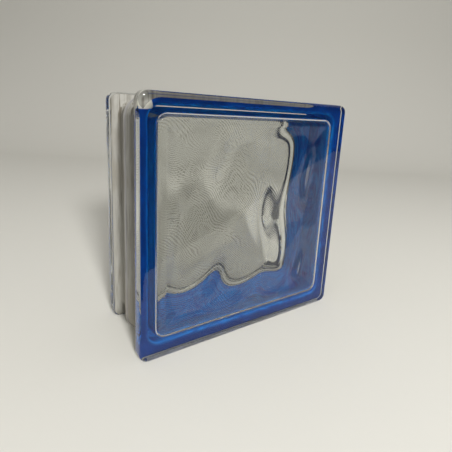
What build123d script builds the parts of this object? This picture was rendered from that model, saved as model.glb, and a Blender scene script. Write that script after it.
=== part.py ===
from build123d import *
from math import atan, cos, degrees, pi, radians, sin, tan
import os

# Hollow glass block for walls: two pressed glass trays fused mouth to mouth.
# Millimetres, +Z up, origin at the middle of the underside, front face towards -Y.

# Outside of the block
FACE_SIZE = 190.0  # width and height over the rims
DEPTH = 80.0  # front face to rear face
RIM_WIDTH = 11.0  # thickness of the plate edge that frames each face
RIM_CORNER = 6.5  # corner radius of the square face
FACE_EDGE = 2.5  # rounding between a face and its rim
RIM_BACK_EDGE = 0.8  # bevel on the mortar side of a rim

# Side walls, set back from the rims so that mortar keys behind them
SEAM_RECESS = 3.25  # how far the wall lies inside the rim, at the seam
WALL_DRAFT = 12.0  # degrees that the wall leans in from the seam to the rim
WALL_CORNER = 15.0  # corner radius of the wall at the seam
WALL_ROOT = 4.0  # bevel that fills the corner between the wall and the back of the rim

# Sealed cavity
FACE_GLASS = 6.5  # thickness of each face in the flat margin round the waves
WALL_GLASS = 6.0  # thickness of the side wall at the seam
CAVITY_DRAFT = 6.0  # degrees that the cavity narrows towards the face
CAVITY_CORNER = 12.0  # corner radius of the cavity at the seam
CAVITY_ROUND = 4.0  # rounding between the inside of a face and the wall

# Bead that the two halves squeeze out where they are fused
BEAD_OUT = 0.7  # height on the outside
BEAD_IN = 0.8  # height inside the cavity
BEAD_REACH = 2.2  # width on each half

# Wavy field pressed on the inside of both faces: long swells that cross each other.
# Each swell has its height over the mean, its length from crest to crest,
# the direction in degrees that it runs in, and its phase in degrees.
SWELLS = ((0.67, 46.0, 0, 261), (0.36, 46.0, 150, 114), (0.88, 66.0, 130, 225), (0.2, 66.0, 20, 313))
FIELD_STEP = 0.3  # how far the lowest trough stays above the flat margin
FLAT_MARGIN = 3.0  # width of the margin between the wall's rounding and the field
FIELD_SLOPE = 16.0  # distance over which the field rises from the margin
FIELD_GRID = 8.5  # spacing of the points that the field is fitted through
FIELD_FIT = 0.02  # how closely it passes them

# Coats in the mortar groove, on the side walls and the backs of the rims
LACQUER_FILM = 0.2  # blue lacquer on the glass
BOND_FILM = 0.4  # grey-white bond coat over the lacquer
COAT_MARGIN = 1.0  # from the outside of a rim to the edge of the coats
BARE_TOP = 4.6  # width of the top rims' backs that the lacquer leaves bare

# Worked out from the sizes above
HALF_DEPTH = DEPTH / 2
MIDDLE = FACE_SIZE / 2
RIM_BACK = HALF_DEPTH - RIM_WIDTH
WALL_HALF = MIDDLE - SEAM_RECESS
CAVITY_HALF = WALL_HALF - WALL_GLASS
CAVITY_DEPTH = HALF_DEPTH - FACE_GLASS
FLOOR_HALF = CAVITY_HALF - CAVITY_DEPTH * tan(radians(CAVITY_DRAFT))
FIELD_HALF = FLOOR_HALF - CAVITY_ROUND - FLAT_MARGIN
FIELD_MEAN = FIELD_STEP + sum(height for height, length, direction, phase in SWELLS)
COATED_HALF = MIDDLE - COAT_MARGIN
COATED_CORNER = RIM_CORNER - COAT_MARGIN
HALF_TURN = 180
SEAM_PLANE = Plane(origin=(0, 0, MIDDLE), x_dir=(1, 0, 0), z_dir=(0, -1, 0))


def drafted_square(half, corner, depth, draft_angle):
    """A rounded square block from the seam towards the front, narrowing by a draft angle."""
    with BuildPart() as block:
        with BuildSketch(SEAM_PLANE):
            RectangleRounded(2 * half, 2 * half, corner)
        extrude(amount=depth)
        draft(block.faces().filter_by(Axis.Y, reverse=True), SEAM_PLANE, draft_angle)
    return block.part


def front_wall(film):
    """The front half's side wall, filled, with its share of the bead, grown outwards by a film."""
    bead_slope = WALL_DRAFT + degrees(atan(BEAD_OUT / BEAD_REACH))
    half = WALL_HALF + film
    corner = WALL_CORNER + film
    with BuildPart() as wall:
        add(drafted_square(half, corner, RIM_BACK, WALL_DRAFT))
        add(drafted_square(half + BEAD_OUT, corner + BEAD_OUT, BEAD_REACH, bead_slope))
    return wall.part


def swell(x, z):
    """Height of the swells over their mean, at a point of the face."""
    height_here = 0
    for height, length, direction, phase in SWELLS:
        along = x * cos(radians(direction)) + z * sin(radians(direction))
        height_here += height * sin(2 * pi * along / length + radians(phase))
    return height_here


def field_height(x, z):
    """Height of the wavy field over the flat margin, and below it outside the field."""
    inside = (FIELD_HALF - max(abs(x), abs(z))) / FIELD_SLOPE
    share = min(max(inside, -1), 1)
    rise = share * (3 - share**2) / 2
    return rise * (FIELD_MEAN + swell(x, z))


def wavy_field():
    """The wavy field as a smooth sheet, a little larger than the inside of the face."""
    steps = round(2 * CAVITY_HALF / FIELD_GRID)
    stations = [CAVITY_HALF * (2 * i / steps - 1) for i in range(steps + 1)]
    grid = [
        [(x, field_height(x, z) - CAVITY_DEPTH, MIDDLE + z) for x in stations]
        for z in stations
    ]
    return Face.make_surface_from_array_of_points(grid, tol=FIELD_FIT)


# Outer form of the front half, still solid
with BuildPart() as front_blank:
    with BuildSketch(SEAM_PLANE.offset(RIM_BACK)):
        RectangleRounded(FACE_SIZE, FACE_SIZE, RIM_CORNER)
    extrude(amount=RIM_WIDTH)
    fillet(front_blank.faces().sort_by(Axis.Y).first.edges(), FACE_EDGE)
    chamfer(front_blank.faces().sort_by(Axis.Y).last.edges(), RIM_BACK_EDGE)
    add(front_wall(film=0))
    rim_back = front_blank.faces().filter_by(Axis.Y).sort_by(Axis.Y)[1]
    chamfer(rim_back.inner_wires().edges(), WALL_ROOT)

# The front half's share of the cavity
with BuildPart() as front_cavity:
    add(drafted_square(CAVITY_HALF, CAVITY_CORNER, CAVITY_DEPTH, CAVITY_DRAFT))
    fillet(front_cavity.faces().sort_by(Axis.Y).first.edges(), CAVITY_ROUND)
    extrude(wavy_field(), amount=DEPTH, dir=(0, 1, 0), mode=Mode.INTERSECT)
    mouth_slope = CAVITY_DRAFT + degrees(atan(BEAD_IN / BEAD_REACH))
    pinch = drafted_square(CAVITY_HALF - BEAD_IN, CAVITY_CORNER - BEAD_IN, HALF_DEPTH, -mouth_slope)
    add(pinch, mode=Mode.INTERSECT)

# The pressed halves: one mould makes both, and the rear one is turned to face the front one
with BuildPart() as front_half:
    add(front_blank.part)
    add(front_cavity.part, mode=Mode.SUBTRACT)
front_half.part.label = "front_half"

with BuildPart() as rear_half:
    add(front_half.part.rotate(Axis.Z, HALF_TURN))
rear_half.part.label = "rear_half"


def groove_skin(film):
    """A skin of one film in the mortar groove, from the edge of one rim to the edge of the other."""
    with BuildPart() as half_skin:
        with BuildSketch(SEAM_PLANE.offset(RIM_BACK - film)):
            RectangleRounded(2 * COATED_HALF, 2 * COATED_HALF, COATED_CORNER)
        extrude(amount=film + RIM_BACK_EDGE)
        add(front_wall(film))
        rim_side = half_skin.faces().filter_by(Axis.Y).sort_by(Axis.Y)[1]
        chamfer(rim_side.inner_wires().edges(), WALL_ROOT)
    with BuildPart() as skin:
        add(half_skin.part)
        add(half_skin.part.rotate(Axis.Z, HALF_TURN))
        add(front_blank.part, mode=Mode.SUBTRACT)
        add(front_blank.part.rotate(Axis.Z, HALF_TURN), mode=Mode.SUBTRACT)
    return skin.part


with BuildPart() as blue_lacquer:
    add(groove_skin(LACQUER_FILM))
    with Locations((0, -RIM_BACK, FACE_SIZE), (0, RIM_BACK, FACE_SIZE)):
        Box(FACE_SIZE, 2 * LACQUER_FILM, 2 * BARE_TOP, mode=Mode.SUBTRACT)
blue_lacquer.part.label = "blue_lacquer"

with BuildPart() as bond_coat:
    add(groove_skin(LACQUER_FILM + BOND_FILM))
    add(blue_lacquer.part, mode=Mode.SUBTRACT)
bond_coat.part.label = "bond_coat"

os.makedirs("parts", exist_ok=True)
for piece in (front_half, rear_half, blue_lacquer, bond_coat):
    export_step(piece.part, f"parts/{piece.part.label}.step")
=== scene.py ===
import math
from collections import namedtuple

import bmesh
import bpy
from mathutils import Matrix, Vector, noise


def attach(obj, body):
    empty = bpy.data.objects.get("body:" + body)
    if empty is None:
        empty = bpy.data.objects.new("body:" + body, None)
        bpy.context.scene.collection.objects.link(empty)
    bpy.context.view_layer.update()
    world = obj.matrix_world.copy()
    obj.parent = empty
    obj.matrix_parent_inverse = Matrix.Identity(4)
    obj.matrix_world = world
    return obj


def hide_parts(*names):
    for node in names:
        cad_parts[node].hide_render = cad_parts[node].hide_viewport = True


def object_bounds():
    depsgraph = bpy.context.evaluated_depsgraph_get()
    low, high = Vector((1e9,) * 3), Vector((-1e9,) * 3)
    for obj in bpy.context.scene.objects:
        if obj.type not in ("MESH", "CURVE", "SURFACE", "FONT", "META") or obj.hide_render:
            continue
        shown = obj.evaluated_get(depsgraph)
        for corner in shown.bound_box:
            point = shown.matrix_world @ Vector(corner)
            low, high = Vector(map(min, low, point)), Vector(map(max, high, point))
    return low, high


# Hollow glass block for walls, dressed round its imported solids.
# Metres, +Z up, front face towards -Y, seam between the two halves at y = 0.

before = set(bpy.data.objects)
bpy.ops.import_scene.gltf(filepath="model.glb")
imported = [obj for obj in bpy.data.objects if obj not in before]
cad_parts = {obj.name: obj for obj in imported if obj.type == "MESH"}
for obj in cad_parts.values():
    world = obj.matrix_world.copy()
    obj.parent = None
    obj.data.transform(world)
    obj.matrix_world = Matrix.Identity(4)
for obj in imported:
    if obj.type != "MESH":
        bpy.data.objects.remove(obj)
cad_low, cad_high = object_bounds()

MM = 0.001

# Outside of the glass: what the frame gives, and the shaping of its section
HALF_WIDTH = (cad_high.x - cad_low.x) / 2
HALF_DEPTH = (cad_high.y - cad_low.y) / 2
MIDDLE = (cad_high.z + cad_low.z) / 2
RIM_WIDTH = 11 * MM  # thickness of the plate edge that frames each face
RIM_CORNER = 6.5 * MM  # corner radius of the square face
FACE_EDGE = 2.5 * MM  # rounding between a face and its rim
RIM_BACK_EDGE = 0.8 * MM  # rounding on the mortar side of a rim
SEAM_RECESS = 3.25 * MM  # how far the wall lies inside the rim, at the seam
WALL_DRAFT = math.radians(12)  # lean of the wall from the seam to the rim
WALL_CORNER = 15 * MM  # corner radius of the wall at the seam
WALL_ROOT = 4.5 * MM  # hollow rounding where the wall meets the back of the rim

# Sealed cavity
FACE_GLASS = 6.5 * MM  # thickness of each face in the flat margin round the waves
WALL_GLASS = 6 * MM  # thickness of the side wall at the seam
CAVITY_DRAFT = math.radians(6)
CAVITY_CORNER = 12 * MM
CAVITY_ROUND = 4 * MM  # rounding between the inside of a face and the wall

# Bead that the two halves squeeze out where they are fused
BEAD_OUT = 0.7 * MM
BEAD_IN = 0.8 * MM
BEAD_REACH = 2.2 * MM

# Wavy field pressed on the inside of both faces: height, length, direction and phase of
# each swell, the last two in degrees
SWELLS = (
    (0.67 * MM, 46 * MM, 0, 261),
    (0.36 * MM, 46 * MM, 150, 114),
    (0.88 * MM, 66 * MM, 130, 225),
    (0.2 * MM, 66 * MM, 20, 313),
)
FIELD_STEP = 0.3 * MM  # how far the lowest trough stays above the flat margin
FLAT_MARGIN = 3 * MM  # width of the margin between the wall's rounding and the field
FIELD_SLOPE = 16 * MM  # distance over which the field rises from the margin

# Coats in the mortar groove, on the side walls and the backs of the rims
COATS = 0.6 * MM  # both films, from the glass out
GRIP = 0.1 * MM  # how far the bond coat is sunk in the glass, so that no air lies between
COAT_MARGIN = 1 * MM  # from the outside of a rim to the edge of the coats

# The backs of the top rims are bare of lacquer, up to near their right corner. Each pair
# gives the start and the end of a soft edge.
BARE_FROM_Z = (176 * MM, 179 * MM)
BARE_TO_X = (60 * MM, 68 * MM)

# A patch at the upper left corner is bare too. It lies above one height over the block's
# middle, and left of a slanted line, which is given by where it would cross the middle.
PATCH_UP = 84.6 * MM
PATCH_LEFT = 51.2 * MM
PATCH_SLANT = 0.37  # how far that line moves left for each step up

# Marks on the bond coat, among them painted shade in its grooves and beside the seam
SHADE_STREAKS_DOWN_TO = 172 * MM  # height over the floor at which the dark streaks of painted shade, in the grooves between the coat's runs, end before they fray
SHADE_STREAKS_OUTSIDE = 80 * MM  # these streaks show further out than this, so only on the side walls
SEAM_LINE = -1.5 * MM  # depth of the painted shadow line beside the seam ridge
TOP_LINE = 92.3 * MM  # height over the middle from which lacquer shows on the front rim

# Fine ripples on the insides of the faces: a very low bump, and painted shade along their lines
# in the glass's colour
RIPPLE_RUN = (2600, 900, 2900)  # radians of the wave in a metre along x, y and z
RIPPLE_BEND = 130  # how far they wander from straight lines, in radians
RIPPLE_HEIGHT = 0.004 * MM

# Indices of refraction and colours of the glass
GLASS_INDEX = 1.52
WALL_INDEX = 1.18  # not that of glass: it weakens the grey reflections over the blue
GLASS_CLEAR = (0.97, 0.975, 0.96, 1)
GLASS_TINTED = (0.94, 0.96, 0.95, 1)
# painted shade along the fine ripples' lines, in the glass's own colour
PAINTED_RIPPLE_SHADE = (0.55, 0.55, 0.5, 1)

# Colours of the coats
LACQUER_THICK = (0.0008, 0.03, 0.19, 1)
LACQUER_DEEP = (0.002, 0.1, 0.55, 1)
LACQUER_BRIGHT = (0.01, 0.32, 0.97, 1)
LACQUER_VIOLET = (0.03, 0.05, 0.45, 1)
BOND_SEEN = (0.6, 0.58, 0.5, 1)  # the bond coat, seen through the glass
BOND_DARK = (0.22, 0.21, 0.18, 1)
BOND_LIGHT = (0.32, 0.31, 0.275, 1)
BOND_WARM = (0.27, 0.245, 0.2, 1)
# painted shade in the grooves between the bond coat's runs
SHADE_STREAK_COLOUR = (0.1, 0.085, 0.06, 1)
# painted shadow beside the seam ridge of the bond coat
SEAM_SHADOW_COLOUR = (0.13, 0.125, 0.16, 1)

# Studio: a floor that bends up into a backdrop behind the block, square to the camera
CAMERA_TURN = math.radians(-33.75)
STAGE_FRONT = -0.17
STAGE_BACK = 1.5
STAGE_BEND = 0.6  # radius of the bend
STAGE_BEND_STEPS = 24
STAGE_HALF = 1.8  # half of the stage's width
STAGE_HEIGHT = 1.7
STAGE_COLOUR = (0.66, 0.645, 0.59, 1)
ROOM_COLOUR = (0.07, 0.07, 0.07, 1)
SKY_COLOUR = (0.55, 0.545, 0.53, 1)

# Worked out from the sizes above
RIM_BACK = HALF_DEPTH - RIM_WIDTH
RIM_CENTRE = HALF_WIDTH - RIM_CORNER
WALL_HALF = HALF_WIDTH - SEAM_RECESS
WALL_CENTRE = WALL_HALF - WALL_CORNER
CAVITY_HALF = WALL_HALF - WALL_GLASS
CAVITY_CENTRE = CAVITY_HALF - CAVITY_CORNER
CAVITY_DEPTH = HALF_DEPTH - FACE_GLASS
FLOOR_HALF = CAVITY_HALF - CAVITY_DEPTH * math.tan(CAVITY_DRAFT)
FIELD_HALF = FLOOR_HALF - CAVITY_ROUND - FLAT_MARGIN
FIELD_MEAN = FIELD_STEP + sum(height for height, length, direction, phase in SWELLS)

# Fineness of the meshes
ARC_STEPS = 8  # cells over a rounding
FIELD_STEPS = 136  # cells along each side of the wavy field
CORNER_SHARE = 16 / FIELD_STEPS  # part of those cells that lies on the rounded corners
OUTSIDE_STEPS = 68  # cells along each side of the block's outside
COAT_STEPS = 136  # and of the coats

QUARTER = math.pi / 2


# A ring of the surface: a rounded square round the block's axis, at a depth y. Its corners
# are arcs about the points (centre, centre), and the surface there faces outwards and
# towards +Y in the shares cos(slope) and sin(slope).
Ring = namedtuple("Ring", "half centre y slope")


def arc(half, centre, y, radius, start, end, steps=ARC_STEPS):
    """Rings over a rounding about (half, y). A hollow rounding has a negative radius."""
    rings = []
    for i in range(steps + 1):
        slope = start + (end - start) * i / steps
        rings.append(
            Ring(half + radius * math.cos(slope), centre, y + radius * math.sin(slope), slope)
        )
    return rings


def seam_bead(half, centre, draft, height, facing, steps=6):
    """Rings from the wall up to the crest of the bead at the seam."""
    rings = []
    for i in range(steps + 1):
        y = BEAD_REACH * (i / steps - 1)
        swell = height * math.cos(QUARTER * y / BEAD_REACH) ** 2
        rings.append(Ring(half + y * math.tan(draft) + facing * swell, centre, y, -draft))
    return rings


def wall_rings():
    """The outer side wall of the front half, from the back of the rim to the seam."""
    root_y = -RIM_BACK + WALL_ROOT
    wall_y = root_y + WALL_ROOT * math.sin(WALL_DRAFT)
    root_half = WALL_HALF + wall_y * math.tan(WALL_DRAFT) + WALL_ROOT * math.cos(WALL_DRAFT)
    root = arc(root_half, WALL_CENTRE, root_y, -WALL_ROOT, QUARTER, -WALL_DRAFT)
    return root + seam_bead(WALL_HALF, WALL_CENTRE, WALL_DRAFT, BEAD_OUT, facing=1)


def outside_rings():
    """The outside of the front half, from the flat face to the seam. The first ring lies just
    within the face's edge, so that the shading of the edge doesn't spread over the face."""
    face_half = HALF_WIDTH - FACE_EDGE
    back_half = HALF_WIDTH - RIM_BACK_EDGE
    face = [Ring(face_half * 0.99, RIM_CENTRE * 0.99, -HALF_DEPTH, -QUARTER)]
    edge = arc(face_half, RIM_CENTRE, -HALF_DEPTH + FACE_EDGE, FACE_EDGE, -QUARTER, 0)
    back = arc(back_half, RIM_CENTRE, -RIM_BACK - RIM_BACK_EDGE, RIM_BACK_EDGE, 0, QUARTER, 4)
    return face + edge + back + wall_rings()


def cavity_rings():
    """The cavity's wall in the front half, from the edge of the wavy face to the seam."""
    lean = math.pi - CAVITY_DRAFT
    round_y = -CAVITY_DEPTH + CAVITY_ROUND
    wall_y = round_y - CAVITY_ROUND * math.sin(lean)
    round_half = (
        CAVITY_HALF + wall_y * math.tan(CAVITY_DRAFT) + CAVITY_ROUND * math.cos(lean)
    )
    rounding = arc(round_half, CAVITY_CENTRE, round_y, -CAVITY_ROUND, QUARTER, lean)
    return rounding + seam_bead(CAVITY_HALF, CAVITY_CENTRE, CAVITY_DRAFT, BEAD_IN, facing=-1)


def in_square(u, v, half, centre):
    """The point (x, z) that a point (u, v) of the square from -1 to 1 has in a rounded one."""
    size = max(abs(u), abs(v))
    if size == 0:
        return 0, 0
    straight = 1 - CORNER_SHARE
    share = min(abs(u), abs(v)) / size
    turn = max(0, share - straight) / CORNER_SHARE * QUARTER / 2
    out = size * (centre + (half - centre) * math.cos(turn))
    along = size * (centre * min(share / straight, 1) + (half - centre) * math.sin(turn))
    x, z = (out, along) if abs(u) >= abs(v) else (along, out)
    return math.copysign(x, u), math.copysign(z, v)


def around(steps):
    """The points (u, v) round the square from -1 to 1, that many to a side."""
    side = [2 * i / steps - 1 for i in range(steps)]
    return (
        [(-1, v) for v in side]
        + [(u, 1) for u in side]
        + [(1, -v) for v in side]
        + [(-u, -1) for u in side]
    )


def ring_verts(bm, ring, steps):
    """New vertices round a ring."""
    verts = []
    for u, v in around(steps):
        x, z = in_square(u, v, ring.half, ring.centre)
        verts.append(bm.verts.new((x, ring.y, MIDDLE + z)))
    return verts


def skin(bm, loops, material=0):
    """Faces between each loop of vertices and the next."""
    for low, high in zip(loops, loops[1:]):
        for i in range(len(low)):
            j = (i + 1) % len(low)
            face = bm.faces.new((low[i], low[j], high[j], high[i]))
            face.material_index = material


def swell(x, z):
    """Height of the swells over their mean, at a point of the face."""
    height_here = 0
    for height, length, direction, phase in SWELLS:
        along = x * math.cos(math.radians(direction)) + z * math.sin(math.radians(direction))
        height_here += height * math.sin(2 * math.pi * along / length + math.radians(phase))
    return height_here


def field_height(x, z):
    """Height of the wavy field over the flat margin round it."""
    inside = (FIELD_HALF - max(abs(x), abs(z))) / FIELD_SLOPE
    share = min(max(inside, 0), 1)
    rise = share * (3 - share**2) / 2
    return rise * (FIELD_MEAN + swell(x, z))


def field_floor(bm, rim, material):
    """The inside of the front face, with its waves. Gives the vertices round its edge."""
    stations = [2 * i / FIELD_STEPS - 1 for i in range(FIELD_STEPS + 1)]
    grid = {}
    for i, u in enumerate(stations):
        for j, v in enumerate(stations):
            x, z = in_square(u, v, rim.half, rim.centre)
            y = -CAVITY_DEPTH + field_height(x, z)
            grid[i, j] = bm.verts.new((x, y, MIDDLE + z))
    for i in range(FIELD_STEPS):
        for j in range(FIELD_STEPS):
            corners = (grid[i, j], grid[i, j + 1], grid[i + 1, j + 1], grid[i + 1, j])
            bm.faces.new(corners).material_index = material
    last = FIELD_STEPS
    side = range(FIELD_STEPS)
    return (
        [grid[0, k] for k in side]
        + [grid[k, last] for k in side]
        + [grid[last, last - k] for k in side]
        + [grid[last - k, 0] for k in side]
    )


def to_object(name, bm, materials):
    """A smooth mesh object from a bmesh, which it uses up."""
    mesh = bpy.data.meshes.new(name)
    bm.to_mesh(mesh)
    bm.free()
    for material in materials:
        mesh.materials.append(material)
    mesh.shade_smooth()
    piece = bpy.data.objects.new(name, mesh)
    bpy.context.scene.collection.objects.link(piece)
    return piece


def second_half(bm):
    """Adds the rear half, the front one turned about the vertical axis, and fuses the seam."""
    copy = bmesh.ops.duplicate(bm, geom=bm.verts[:] + bm.edges[:] + bm.faces[:])
    turned = [item for item in copy["geom"] if isinstance(item, bmesh.types.BMVert)]
    bmesh.ops.rotate(bm, verts=turned, matrix=Matrix.Rotation(math.pi, 3, "Z"))
    seam = [vert for vert in bm.verts if abs(vert.co.y) < 0.001 * MM]
    bmesh.ops.remove_doubles(bm, verts=seam, dist=0.01 * MM)


def glass_body(outer_material, face_material, wall_material):
    """The two pressed halves, fused into one hollow piece of glass. The cavity's surface
    doesn't touch the outside, and its normals have to point into the cavity."""
    bm = bmesh.new()
    loops = [ring_verts(bm, ring, OUTSIDE_STEPS) for ring in outside_rings()]
    bm.faces.new(loops[0])
    skin(bm, loops)
    rings = cavity_rings()
    edge = field_floor(bm, rings[0], material=1)
    loops = [edge] + [ring_verts(bm, ring, FIELD_STEPS) for ring in rings[1:]]
    skin(bm, loops[:ARC_STEPS + 1], material=1)
    skin(bm, loops[ARC_STEPS:], material=2)
    second_half(bm)
    outside = [face for face in bm.faces if face.material_index == 0]
    inside = [face for face in bm.faces if face.material_index > 0]
    bmesh.ops.recalc_face_normals(bm, faces=outside)
    bmesh.ops.recalc_face_normals(bm, faces=inside)
    bmesh.ops.reverse_faces(bm, faces=inside)
    return to_object("fused_glass", bm, [outer_material, face_material, wall_material])


def grown(ring, film):
    """A ring moved out along the way that the surface faces there."""
    return ring._replace(
        half=ring.half + film * math.cos(ring.slope),
        y=ring.y + film * math.sin(ring.slope),
    )


def groove_rings():
    """The mortar groove's surface, from the back of the front rim to that of the rear one."""
    wall = wall_rings()
    edge = Ring(HALF_WIDTH - COAT_MARGIN, RIM_CENTRE, -RIM_BACK, QUARTER)
    front = [edge] + wall
    rear = [ring._replace(y=-ring.y, slope=-ring.slope) for ring in front[-2::-1]]
    return front + rear


def coat_side(bm, film, reach):
    """One side of a coat. Its edges lie on the backs of the rims, where reach says how far
    out: 0 at the wall and 1 at the coats' edge."""
    rings = groove_rings()
    loops = [ring_verts(bm, grown(ring, film), COAT_STEPS) for ring in rings]
    for edge, root in ((loops[0], loops[1]), (loops[-1], loops[-2])):
        for outer, inner in zip(edge, root):
            outer.co = inner.co.lerp(outer.co, reach(outer.co))
    return loops


def coat(name, inner_film, outer_film, reach, material):
    """A closed skin in the mortar groove, between two films."""
    bm = bmesh.new()
    loops = coat_side(bm, outer_film, reach) + coat_side(bm, inner_film, reach)[::-1]
    skin(bm, loops + loops[:1])
    bmesh.ops.recalc_face_normals(bm, faces=bm.faces)
    return to_object(name, bm, [material])


def soft_step(value, low, high):
    """A smooth rise from 0 to 1 between two values."""
    share = min(max((value - low) / (high - low), 0), 1)
    return share * share * (3 - 2 * share)


def lacquer_reach(point):
    """The lacquer covers the backs of the rims, apart from its bare part."""
    ragged = noise.noise(point * 400) * 2 * MM
    above = soft_step(point.z + ragged, *BARE_FROM_Z)
    left = 1 - soft_step(point.x + ragged, *BARE_TO_X)
    full = 1.02 + 0.03 * noise.noise(point * 150)
    return max(full * (1 - above * left), 0.04)


def bond_reach(point):
    """The bond coat ends a little before the coats' edge."""
    return 0.96 + 0.04 * noise.noise(point * 120)


def new_material(name):
    """A material with its node tree, and its Principled shader."""
    material = bpy.data.materials.new(name)
    material.use_nodes = True
    return material, material.node_tree, material.node_tree.nodes["Principled BSDF"]


def add_node(tree, kind, inputs, **settings):
    """A node with its settings, and with a value or another node's output in each named input."""
    node = tree.nodes.new("ShaderNode" + kind)
    for key, value in settings.items():
        setattr(node, key, value)
    for key, value in inputs.items():
        if isinstance(value, bpy.types.NodeSocket):
            tree.links.new(value, node.inputs[key])
        else:
            node.inputs[key].default_value = value
    return node


def math_step(tree, operation, first, second=0.0):
    """One calculation with two values or outputs."""
    return add_node(tree, "Math", {0: first, 1: second}, operation=operation).outputs[0]


def times(tree, first, second):
    """The product of two values or outputs."""
    return math_step(tree, "MULTIPLY", first, second)


def fade(tree, value, low, high):
    """Rises smoothly from 0 to 1 while a value goes from low to high."""
    inputs = {"Value": value, "From Min": low, "From Max": high}
    node = add_node(tree, "MapRange", inputs, interpolation_type="SMOOTHSTEP")
    return node.outputs["Result"]


def blend_colours(tree, share, first, second):
    """The first colour where the share is 0, and the second where it is 1."""
    inputs = {0: share, 6: first, 7: second}
    return add_node(tree, "Mix", inputs, data_type="RGBA").outputs[2]


def shaded_point(tree):
    """The point that is shaded, in metres."""
    return add_node(tree, "TexCoord", {}).outputs["Object"]


def along_axes(tree, point):
    """A point's x, y and z."""
    axes = add_node(tree, "SeparateXYZ", {0: point}).outputs
    return axes[0], axes[1], axes[2]


def scaled(tree, point, x, y, z):
    """The point with each axis stretched, for grain that runs along one of them."""
    inputs = {0: point, 1: (x, y, z)}
    return add_node(tree, "VectorMath", inputs, operation="MULTIPLY").outputs[0]


def grain(tree, point, scale, detail=2.0, roughness=0.5, distortion=0.0):
    """Noise between 0 and 1. The scale is about the number of its grains in a metre."""
    inputs = {
        "Vector": point, "Scale": scale, "Detail": detail,
        "Roughness": roughness, "Distortion": distortion,
    }
    return add_node(tree, "TexNoise", inputs).outputs["Fac"]


def set_bump(tree, shader, height, strength, distance):
    """Relief in a surface. The distance is what a height of 1 stands for, in metres."""
    inputs = {"Height": height, "Strength": strength, "Distance": distance}
    tree.links.new(add_node(tree, "Bump", inputs).outputs[0], shader.inputs["Normal"])


def new_glass(name, index):
    """A transparent material, with its node tree, its shader and the point that is shaded."""
    material, tree, shader = new_material(name)
    shader.inputs["IOR"].default_value = index
    shader.inputs["Transmission Weight"].default_value = 1
    return material, tree, shader, shaded_point(tree)


def clear_glass():
    """The fire-polished outside, with faint flow marks."""
    material, tree, shader, point = new_glass("clear_glass", GLASS_INDEX)
    smears = fade(tree, grain(tree, point, 30, 4), 0.5, 0.8)
    roughness = times(tree, smears, 0.03)
    tree.links.new(roughness, shader.inputs["Roughness"])
    colour = blend_colours(tree, grain(tree, point, 12), GLASS_CLEAR, GLASS_TINTED)
    tree.links.new(colour, shader.inputs["Base Color"])
    set_bump(tree, shader, grain(tree, point, 45, 1), 0.25, 0.2 * MM)
    return material


def pressed_glass():
    """The insides of the faces, with patches of fine ripples like a fingerprint's lines. The
    lines are painted shade in the glass's colour, over a very low bump.
    """
    material, tree, shader, point = new_glass("pressed_glass", GLASS_INDEX)
    bend = times(tree, grain(tree, point, 20, 2, 0.4, 0.5), RIPPLE_BEND)
    across = add_node(tree, "VectorMath", {0: point, 1: RIPPLE_RUN}, operation="DOT_PRODUCT")
    ripples = math_step(tree, "SINE", math_step(tree, "ADD", across.outputs["Value"], bend))
    patches = fade(tree, grain(tree, point, 30, 2), 0.4, 0.62)
    height = times(tree, ripples, patches)
    # Painted shade along the ripples' lines, darkening the glass's colour there
    colour = blend_colours(tree, fade(tree, height, -1, 0.9), PAINTED_RIPPLE_SHADE, GLASS_CLEAR)
    tree.links.new(colour, shader.inputs["Base Color"])
    roughness = times(tree, patches, 0.04)
    tree.links.new(roughness, shader.inputs["Roughness"])
    set_bump(tree, shader, height, 1, RIPPLE_HEIGHT)
    return material


def wall_glass():
    """The cavity's side walls, in front of the lacquer."""
    material, tree, shader, point = new_glass("wall_glass", WALL_INDEX)
    colour = blend_colours(tree, grain(tree, point, 25, 3), GLASS_CLEAR, GLASS_TINTED)
    tree.links.new(colour, shader.inputs["Base Color"])
    roughness = times(tree, fade(tree, grain(tree, point, 40, 3), 0.4, 0.8), 0.1)
    tree.links.new(roughness, shader.inputs["Roughness"])
    set_bump(tree, shader, grain(tree, point, 35, 1), 0.5, 0.5 * MM)
    return material


def blue_lacquer():
    """Blue lacquer, thick on the backs of the rims and brushed thinner over the walls."""
    material, tree, shader = new_material("blue_lacquer")
    shader.inputs["Roughness"].default_value = 0.5
    shader.inputs["IOR"].default_value = 1  # no gloss, because it lies in glass of its own index
    shader.inputs["Specular IOR Level"].default_value = 0
    point = shaded_point(tree)
    x, y, z = along_axes(tree, point)
    brushed = grain(tree, scaled(tree, point, 1, 5, 1), 45, 5, 0.65, 1.5)
    blue = blend_colours(tree, fade(tree, brushed, 0.3, 0.7), LACQUER_DEEP, LACQUER_BRIGHT)
    clouds = fade(tree, grain(tree, point, 35, 3, 0.6, 1), 0.55, 0.75)
    blue = blend_colours(tree, times(tree, clouds, 0.7), blue, LACQUER_VIOLET)
    depth = math_step(tree, "ABSOLUTE", y)
    patchy = fade(tree, grain(tree, point, 55, 4), 0.4, 1.2)
    mottled = blend_colours(tree, patchy, LACQUER_THICK, LACQUER_DEEP)
    blue = blend_colours(tree, fade(tree, depth, RIM_BACK - 3 * MM, RIM_BACK), blue, mottled)
    ragged = times(tree, grain(tree, point, 160, 3), 2.5 * MM)
    up = math_step(tree, "ADD", math_step(tree, "SUBTRACT", z, MIDDLE), ragged)
    slanted = times(tree, up, PATCH_SLANT)
    left = math_step(tree, "SUBTRACT", times(tree, x, -1), slanted)
    above = fade(tree, up, PATCH_UP, PATCH_UP + 0.6 * MM)
    beside = fade(tree, left, PATCH_LEFT, PATCH_LEFT + 0.4 * MM)
    colour = blend_colours(tree, times(tree, above, beside), blue, BOND_SEEN)
    tree.links.new(colour, shader.inputs["Base Color"])
    return material


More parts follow.
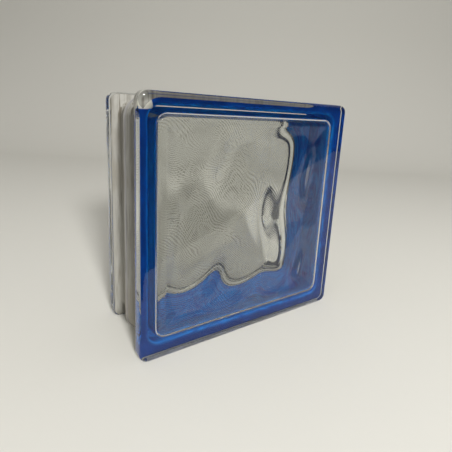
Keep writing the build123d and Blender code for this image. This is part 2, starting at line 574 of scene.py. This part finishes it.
def bond_coat():
    """Grey-white bond coat put on thick by brush, with brush strokes, dark streaks of painted
    shade in the grooves between its runs near the top, a painted shadow line beside the seam, and
    lacquer along the top of the front rim.
    """
    material, tree, shader = new_material("bond_coat")
    shader.inputs["Roughness"].default_value = 0.75
    point = shaded_point(tree)
    x, y, z = along_axes(tree, point)
    strokes = grain(tree, scaled(tree, point, 6, 6, 0.5), 60, 4, 0.6, 0.4)
    colour = blend_colours(tree, fade(tree, strokes, 0.35, 0.6), BOND_DARK, BOND_LIGHT)
    blotches = fade(tree, grain(tree, point, 30, 3), 0.45, 0.7)
    colour = blend_colours(tree, times(tree, blotches, 0.6), colour, BOND_WARM)
    # Dark streaks of painted shade in the grooves between the coat's runs, strong near the top
    # and fading downwards, on the side walls only
    runs = fade(tree, grain(tree, scaled(tree, point, 8, 8, 0.35), 38, 2), 0.54, 0.62)
    low_end = math_step(tree, "ADD", z, times(tree, strokes, 30 * MM))
    runs = times(tree, runs, fade(tree, low_end, SHADE_STREAKS_DOWN_TO, SHADE_STREAKS_DOWN_TO + 16 * MM))
    sideways = math_step(tree, "ABSOLUTE", x)
    runs = times(tree, runs, fade(tree, sideways, SHADE_STREAKS_OUTSIDE, SHADE_STREAKS_OUTSIDE + 5 * MM))
    colour = blend_colours(tree, times(tree, runs, 0.85), colour, SHADE_STREAK_COLOUR)
    # A dark line painted as the shadow beside the seam ridge
    off_seam = math_step(tree, "ABSOLUTE", math_step(tree, "SUBTRACT", y, SEAM_LINE))
    seam_line = times(tree, fade(tree, off_seam, 1.2 * MM, 0.2 * MM), 0.4)
    colour = blend_colours(tree, seam_line, colour, SEAM_SHADOW_COLOUR)
    top_line = fade(tree, z, MIDDLE + TOP_LINE, MIDDLE + TOP_LINE + 0.5 * MM)
    top_line = times(tree, top_line, fade(tree, y, -20 * MM, -25 * MM))
    colour = blend_colours(tree, top_line, colour, LACQUER_THICK)
    tree.links.new(colour, shader.inputs["Base Color"])
    pits = grain(tree, point, 420, 3, 0.7)
    height = math_step(tree, "ADD", strokes, times(tree, pits, 0.5))
    set_bump(tree, shader, height, 0.8, 0.4 * MM)
    return material


glass = glass_body(clear_glass(), pressed_glass(), wall_glass())
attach(glass, "root")
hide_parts("front_half", "rear_half")

lacquer = coat("lacquer_skin", -2 * GRIP, -GRIP / 2, lacquer_reach, blue_lacquer())
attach(lacquer, "root")
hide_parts("blue_lacquer")

bond = coat("bond_skin", -GRIP, COATS, bond_reach, bond_coat())
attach(bond, "root")
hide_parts("bond_coat")


def add_stage():
    """The floor and backdrop, from a section that is drawn across its width."""
    section = [(STAGE_FRONT, 0)]
    for i in range(STAGE_BEND_STEPS + 1):
        turn = QUARTER * i / STAGE_BEND_STEPS
        back = STAGE_BACK - STAGE_BEND + STAGE_BEND * math.sin(turn)
        section.append((back, STAGE_BEND - STAGE_BEND * math.cos(turn)))
    section.append((STAGE_BACK, STAGE_HEIGHT))
    bm = bmesh.new()
    sides = (-STAGE_HALF, STAGE_HALF)
    rows = [[bm.verts.new((side, y, z)) for y, z in section] for side in sides]
    for i in range(len(section) - 1):
        bm.faces.new((rows[0][i], rows[1][i], rows[1][i + 1], rows[0][i + 1]))
    bmesh.ops.recalc_face_normals(bm, faces=bm.faces)
    material, _, shader = new_material("stage")
    shader.inputs["Base Color"].default_value = STAGE_COLOUR
    shader.inputs["Roughness"].default_value = 0.9
    stage = to_object("stage", bm, [material])
    stage.matrix_world = Matrix.Rotation(CAMERA_TURN, 4, "Z")


def add_world():
    """Soft light from above and a dim room below."""
    world = bpy.data.worlds.new("studio")
    bpy.context.scene.world = world
    world.use_nodes = True
    tree = world.node_tree
    direction = add_node(tree, "TexCoord", {}).outputs["Generated"]
    upwards = along_axes(tree, direction)[2]
    light = blend_colours(tree, fade(tree, upwards, 0.05, 0.55), ROOM_COLOUR, SKY_COLOUR)
    tree.links.new(light, tree.nodes["Background"].inputs["Color"])


def add_lamp(name, place, target, size, power):
    """A round lamp that faces its target."""
    data = bpy.data.lights.new(name, "AREA")
    data.shape = "DISK"
    data.size = size
    data.energy = power
    lamp = bpy.data.objects.new(name, data)
    lamp.location = place
    lamp.rotation_mode = "QUATERNION"
    lamp.rotation_quaternion = (Vector(target) - Vector(place)).to_track_quat("-Z", "Y")
    bpy.context.scene.collection.objects.link(lamp)


def add_camera():
    """The photograph's viewpoint, found from the block's outline."""
    data = bpy.data.cameras.new("camera")
    data.sensor_width = 36
    data.lens = 27.72
    data.shift_x = -0.0065
    data.shift_y = -0.082
    camera = bpy.data.objects.new("camera", data)
    place = Vector((-0.16732, -0.24988, 0.17785))
    tilt, roll = math.radians(90 - 12.15), math.radians(2.92)
    camera.matrix_world = (
        Matrix.Translation(place)
        @ Matrix.Rotation(CAMERA_TURN, 4, "Z")
        @ Matrix.Rotation(tilt, 4, "X")
        @ Matrix.Rotation(roll, 4, "Z")
    )
    bpy.context.scene.collection.objects.link(camera)
    bpy.context.scene.camera = camera


add_stage()
add_world()
add_lamp("key", place=(-0.3, -1.4, 0.85), target=(0, 0, 0.1), size=0.3, power=32)
add_camera()

bpy.context.scene.view_settings.view_transform = "Standard"
